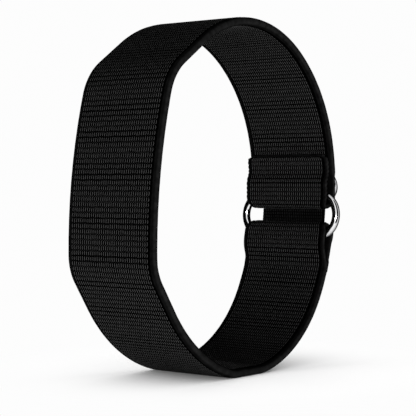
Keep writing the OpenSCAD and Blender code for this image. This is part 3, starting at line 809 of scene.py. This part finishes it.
def chrome(name):
    """Polished plate on wire, with hair-fine wear; a painted dark reflection darkens its colour
    towards the edge, where the wire turns from view.
    """
    s = Shader(name, Metallic=1.0, Specular_Tint=(0.4, 0.4, 0.42, 1))
    turned_away = s.add("ShaderNodeLayerWeight", {"Blend": 0.5}).outputs["Facing"]
    # painted reflection: the colour falls from near white where the wire faces the view to near
    # black at its edges
    s.link(s.ramp(turned_away, (0.0, (0.98, 0.98, 0.99)), (0.18, (0.6, 0.6, 0.61)),
                  (0.42, (0.1, 0.1, 0.102))), "Base Color")
    place = s.add("ShaderNodeTexCoord").outputs["Object"]
    cloud = s.noise(place, 420.0, 3.0)
    scratch = s.noise(s.vector("MULTIPLY", place, (1.0, 0.07, 1.0)), 9000.0, 2.0)
    s.link(s.ramp(cloud, (0.35, 0.08), (0.75, 0.13)), "Roughness")
    s.bump(scratch, 0.04, 0.00001)
    return s.material


WEAVE = woven("woven_facing", 0.0002, 0.0008, 0.163)
# the webbing of tail and keeper is coloured well below the facing; part of that is painted shade,
# for the tail where it lies in the gap between the folds
WEB = woven("tail_webbing", 0.0003, 0.001, 0.065, 0.56)
CORE = smooth_core("edging")
NAP = napped("hook_and_loop")
CHROME = chrome("chrome_wire")
THREAD = woven("sewing_thread", 0.02, 0.03, 0.05, 0.45)


# --- the band ---
def dress(piece, slot, body, *nodes):
    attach(piece, body)
    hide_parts(*nodes)


def bends(piece, slot, child, hinge, *nodes):
    """A piece that runs on over its bending line between the strap and its peeling end; its place
    is baked into its mesh and the parts it replaces are hidden.
    """
    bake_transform(piece)
    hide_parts(*nodes)


strap_core = core("strap_core", up_fold + round_loop + low_fold + pressed_end, turn_bottom, CORE)
dress(strap_core, "core", "strap", "band_core")
outer_weave = facing("outer_weave", up_fold + round_loop, turn_bottom, OUT, WEAVE)
dress(outer_weave, "weave", "strap", "outer_facing")
inner_from = after(turn_bottom, up_fold)
inner_weave = facing("inner_weave", round_loop + low_fold, inner_from, IN, WEAVE)
dress(inner_weave, "weave", "strap", "inner_facing")

# --- the tab, continuous over its bending line ---
tab_hinge = lane(INNER_LANE, TAB_AT)
tab_back = core("tab_back", tab_legs + tab_end, turn_back, CORE, INNER_ROW / 8, TAB_NUB)
bends(tab_back, "core", "tab", tab_hinge, "tab_core")
tab_weave = facing("tab_weave", tab_legs, turn_back, IN, WEAVE)
bends(tab_weave, "weave", "tab", tab_hinge, "tab_facing")

patch_from = TAB_AT + tab_shift + PATCH_LEAD
patch_turn = TAB_AT + tab_turn - 4 * tab_nip - patch_from
TAB_PATCH_HALF = (BAND_W - BAND_T) / 2 - RIM_WALL - TAB_PATCH_IN


def tab_patch(name, o, thick, hooks, way):
    return pile(name, lane(o, patch_from), [along(o, patch_turn)], thick, TAB_PATCH_HALF, 0,
                NAP, hooks, way)


tab_hooks = tab_patch("tab_hooks", -HALF_T - TAB_LOOP_T - PATCH_GAP - TAB_HOOK_T, TAB_HOOK_T,
                      True, 1)
dress(tab_hooks, "hook_and_loop", "tab", "tab_hook")
tab_pile = tab_patch("tab_pile", -HALF_T, TAB_LOOP_T, False, -1)
dress(tab_pile, "hook_and_loop", "strap", "tab_loop")

# --- the tail and its flap, continuous over its bending line ---
tail_web = webbing("tail_web", tail_legs, lane(SEWN, RETURN_AT), WEB, TAIL_WEAVE)
bends(tail_web, "webbing", "flap", lane(TAIL_HIGH, FLAP_AT), "tail_strap", "tail_flap")

hook_from, hook_to = shoulder_turn(HOOK_LEAD), FLAP_A - shoulder_turn(HOOK_END)


def flap_patch(name, o, over, thick, hooks, way):
    return pile(name, on_shoulder(o, hook_from - over),
                [[SHOULDER_R + o, hook_to - hook_from + 2 * over]], thick, PATCH_W / 2,
                TAIL_SIDE, NAP, hooks, way)


tail_hooks = flap_patch("tail_hooks", FLAP_LANE - HALF_TAIL, 0, HOOK_T - LAY, True, -1)
dress(tail_hooks, "hook_and_loop", "flap", "tail_hook")
tail_pile = flap_patch("tail_pile", HALF_T + LAY, shoulder_turn(LOOP_OVER), LOOP_T, False, 1)
dress(tail_pile, "hook_and_loop", "strap", "tail_loop")

# --- the keeper webbing and the seams ---
keeper_web = webbing("keeper_web", keeper_legs, lane(KEEPER_INNER, KEEPER_TOP_AT, -1), WEB,
                     KEEPER_WEAVE)
dress(keeper_web, "webbing", "strap", "keeper_loop")
rows = (ROW_EDGE, ROW_EDGE + ROW_GAP)
fold_rows = [lane(SEWN + HALF_TAIL, RETURN_AT + turn_of(d, SEWN)) for d in rows]
fold_thread = stitches("fold_thread", fold_rows, 6, THREAD)
dress(fold_thread, "thread", "strap", "fold_stitches")
keeper_rows = [lane(KEEPER_FLAT + KEEPER_T / 2, KEEPER_TOP_AT - turn_of(d, KEEPER_FLAT))
               for d in rows]
keeper_thread = stitches("keeper_thread", keeper_rows, 4, THREAD)
dress(keeper_thread, "thread", "strap", "keeper_stitches")
flap_rows = [on_shoulder(FLAP_LANE + HALF_TAIL, a)
             for a in (hook_from + shoulder_turn(ROW_EDGE), hook_to - shoulder_turn(ROW_EDGE))]
flap_thread = stitches("flap_thread", flap_rows, 5, THREAD)
dress(flap_thread, "thread", "flap", "flap_stitches")

# --- the two wire rings ---
up_bar = lane(BAR_LANE, turn_of(RING_R, BAR_LANE) - GAP_AT)[0]
low_bar = lane(LOW_BAR_LANE, -turn_of(RING_R, LOW_BAR_LANE) - GAP_AT)[0]
ring_way = (up_bar - low_bar) / np.linalg.norm(up_bar - low_bar)
buckle_wire = wire_ring("buckle_wire", (up_bar + low_bar) / 2, ring_way, RING_R, RING_L,
                        WIRE_R, RING_SIDE, CHROME)
dress(buckle_wire, "wire", "strap", "buckle_ring")
keeper_bar = lane(KEEPER_INNER + KEEPER_TURN, KEEPER_AT)[0]
keeper_way = forward(90 + KEEPER_LEAN)
keeper_wire = wire_ring("keeper_wire", keeper_bar - KEEPER_ARM * keeper_way, keeper_way,
                        KEEPER_ARM, KEEPER_L, KEEPER_R, TAIL_SIDE, CHROME)
dress(keeper_wire, "wire", "keeper", "keeper_ring")

# --- camera: its place and view fitted to the loop's outline ---
EYE = Vector((-202.49, -160.35, 35.57)) * MM
LOOK = Vector((0.78388322, 0.62059416, -0.01974817)).normalized()
FOCAL_PX, FRAME_PX, SENSOR = 1389.4, 416, 36.0
camera = bpy.data.objects.new("camera", bpy.data.cameras.new("camera"))
right = LOOK.cross(Vector((0, 0, 1))).normalized()
turned = Matrix((right, right.cross(LOOK), -LOOK)).transposed().to_4x4()
camera.matrix_world = Matrix.Translation(EYE) @ turned
camera.data.sensor_width = SENSOR
camera.data.lens = FOCAL_PX / FRAME_PX * SENSOR
camera.data.clip_start = 0.01
bpy.context.scene.collection.objects.link(camera)
bpy.context.scene.camera = camera


# --- lamps, cards, world and floor, all in metres ---
def lamp(name, at, aim, size, power):
    data = bpy.data.lights.new(name, "AREA")
    data.shape, data.size, data.size_y, data.energy = "RECTANGLE", size[0], size[1], power
    light = bpy.data.objects.new(name, data)
    light.location = at
    light.rotation_euler = (Vector(aim) - Vector(at)).to_track_quat("-Z", "Y").to_euler()
    bpy.context.scene.collection.objects.link(light)
    return light


MIDDLE = (0.0, 0.0, 0.03)
lamp("key", (-0.55, -0.42, 0.04), MIDDLE, (0.45, 0.07), 2.1)
back_lamp = lamp("back", (0.53, 0.42, 0.18), MIDDLE, (0.5, 0.3), 9.0)

CARD_NEAR, CARD_FAR, CARD_TOP, CARD_FOOT, CARD_STEPS = 0.07, 0.5, 0.9, 0.0005, 25
BLACK = Shader("black_card", Base_Color=(0, 0, 0, 1), Specular_IOR_Level=0.0).material


def flag(name, start, stop):
    """A black card round the set, which only polished metal shows: its foot and its wall."""
    n = CARD_STEPS
    turns = np.radians(np.linspace(start, stop, n))
    lines = (CARD_NEAR, CARD_FOOT), (CARD_FAR, CARD_FOOT), (CARD_FAR, CARD_TOP)
    points = np.concatenate([np.stack([r * np.cos(turns), r * np.sin(turns), 0 * turns + z], 1)
                             for r, z in lines]) / MM
    faces = [[k, k + 1, k + n + 1, k + n] for k in range(2 * n - 1) if k != n - 1]
    card = make_mesh(name, points, faces, BLACK)
    card.visible_camera = card.visible_diffuse = False
    card.visible_shadow = card.visible_transmission = False


for k, (start, stop) in enumerate(((-35, 202), (236, 285))):
    flag(f"flag_{k}", start, stop)


def seen_ray(tree):
    """1 for camera, glossy and transmission rays, which see the white background."""
    path = tree.nodes.new("ShaderNodeLightPath")
    total = path.outputs["Is Camera Ray"]
    for name in ("Is Glossy Ray", "Is Transmission Ray"):
        add = tree.nodes.new("ShaderNodeMath")
        add.operation = "MAXIMUM"
        tree.links.new(total, add.inputs[0])
        tree.links.new(path.outputs[name], add.inputs[1])
        total = add.outputs[0]
    return total


# the studio is pale level with the object and dim overhead, and it is seen as white
HORIZON, OVERHEAD, SEEN = 0.55, 0.03, 0.98
LOW, HIGH = -0.05, 0.35  # it fades between these heights of a unit sphere
world = bpy.data.worlds.new("studio")
bpy.context.scene.world = world
world.use_nodes = True
sky = world.node_tree.nodes["Background"]
add = world.node_tree.nodes.new
link = world.node_tree.links.new
height = add("ShaderNodeSeparateXYZ")
link(add("ShaderNodeTexCoord").outputs["Generated"], height.inputs[0])
fade = add("ShaderNodeMapRange")
fade.interpolation_type = "SMOOTHSTEP"
for at, value in enumerate((LOW, HIGH, HORIZON, OVERHEAD), 1):
    fade.inputs[at].default_value = value
link(height.outputs["Z"], fade.inputs[0])
mixed = add("ShaderNodeMix")
mixed.inputs[3].default_value = SEEN
link(seen_ray(world.node_tree), mixed.inputs[0])
link(fade.outputs[0], mixed.inputs[2])
link(mixed.outputs[0], sky.inputs["Strength"])
sky.inputs["Color"].default_value = (1, 1, 1, 1)

# near the foot the floor is matt and takes the shadow; further out it glows a plain white
FLOOR, FOOT, NEAR, FAR = 4.0, (0.007, 0.0, 0.0), 0.01, 0.048
PAPER, GLOW, SEEN_GLOW = (0.9, 0.9, 0.9, 1), 0.93, 0.05
ground = Shader("floor", Roughness=0.9, Specular_IOR_Level=0.0, Emission_Color=(1, 1, 1, 1))
spot = ground.add("ShaderNodeTexCoord").outputs["Object"]
far = ground.add("ShaderNodeMapRange", {0: ground.vector("DISTANCE", spot, FOOT), 1: NEAR, 2: FAR},
                 interpolation_type="SMOOTHSTEP").outputs[0]
ground.link(ground.mix(far, PAPER, (0, 0, 0, 1)), "Base Color")
glow = ground.math("MULTIPLY", far, GLOW)
seen_glow = ground.math("MULTIPLY", seen_ray(ground.tree), SEEN_GLOW)
ground.link(ground.math("ADD", glow, seen_glow), "Emission Strength")
corners = np.array([[-1, -1, 0], [1, -1, 0], [1, 1, 0], [-1, 1, 0]])
floor = make_mesh("floor", corners * FLOOR / MM, [[0, 1, 2, 3]], ground.material)
floor_lamp = lamp("floor_light", (0.0, 0.0, 0.35), (0, 0, 0), (FLOOR, FLOOR), 58)
# the floor's own light falls on nothing else, and the back lamp lays no shadow on it
for light, state in ((floor_lamp, "INCLUDE"), (back_lamp, "EXCLUDE")):
    lit = bpy.data.collections.new(light.name)
    lit.objects.link(floor)
    lit.collection_objects[0].light_linking.link_state = state
    light.light_linking.receiver_collection = lit

bpy.context.scene.view_settings.view_transform = "Standard"
